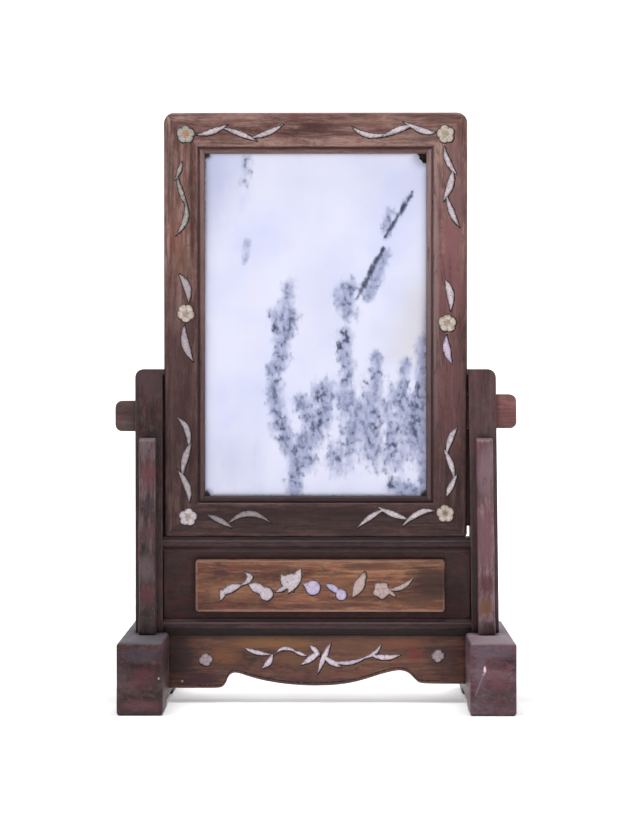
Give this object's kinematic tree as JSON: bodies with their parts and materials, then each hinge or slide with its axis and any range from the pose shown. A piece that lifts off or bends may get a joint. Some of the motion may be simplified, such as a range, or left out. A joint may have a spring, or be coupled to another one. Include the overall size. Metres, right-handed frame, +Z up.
{
  "type": "dreamstone table screen",
  "caption": "Upright marble slab in a shell-inlaid hardwood frame, held between the posts of a stand on block feet; stands on a table.",
  "frame": {"origin": "middle of the underside, on the surface that the feet stand on", "axes": "+Z up, the inlaid front faces -Y, +X to the right seen from the front"},
  "size_m": [0.3004, 0.14, 0.4411],
  "materials": {
    "frame_wood": "waxed reddish-brown rosewood, satin",
    "stand_wood": "dark waxed rosewood, satin, worn at the edges",
    "tablet_wood": "golden-brown figured wood, satin",
    "backboard_wood": "plain dark wood, matt",
    "marble": "polished white marble with grey-blue natural veining",
    "shell": "mother-of-pearl, lustrous pinkish white"
  },
  "bodies": {
    "root": {"frame_top_rail": "frame_wood", "frame_bottom_rail": "frame_wood", "frame_left_stile": "frame_wood", "frame_right_stile": "frame_wood", "dreamstone_slab": "marble", "backboard": "backboard_wood", "left_foot": "stand_wood", "right_foot": "stand_wood", "left_post": "stand_wood", "right_post": "stand_wood", "left_peg": "stand_wood", "right_peg": "stand_wood", "front_left_spandrel": "stand_wood", "front_right_spandrel": "stand_wood", "rear_left_spandrel": "stand_wood", "rear_right_spandrel": "stand_wood", "upper_rail": "stand_wood", "lower_rail": "stand_wood", "ground_panel": "stand_wood", "raised_tablet": "tablet_wood", "apron": "frame_wood", "flower_top_left": "shell", "flower_top_right": "shell", "flower_bottom_left": "shell", "flower_bottom_right": "shell", "flower_middle_left": "shell", "flower_middle_right": "shell", "leaves_top_left_rail": "shell", "leaves_top_left_stile": "shell", "leaves_top_right_rail": "shell", "leaves_top_right_stile": "shell", "leaves_middle_left_upper": "shell", "leaves_middle_left_lower": "shell", "leaves_middle_right_upper": "shell", "leaves_middle_right_lower": "shell", "leaves_bottom_left_stile": "shell", "leaves_bottom_left_rail": "shell", "leaves_bottom_right_stile": "shell", "leaves_bottom_right_rail": "shell", "tablet_branch_left": "shell", "tablet_bud_left": "shell", "tablet_blossom": "shell", "tablet_bud_middle": "shell", "tablet_bud_small": "shell", "tablet_bud_upright": "shell", "tablet_flower": "shell", "apron_quatrefoil_left": "shell", "apron_leaves_left": "shell", "apron_twig": "shell", "apron_leaves_middle": "shell", "apron_branch": "shell", "apron_quatrefoil_right": "shell"}
  },
  "joints": []
}
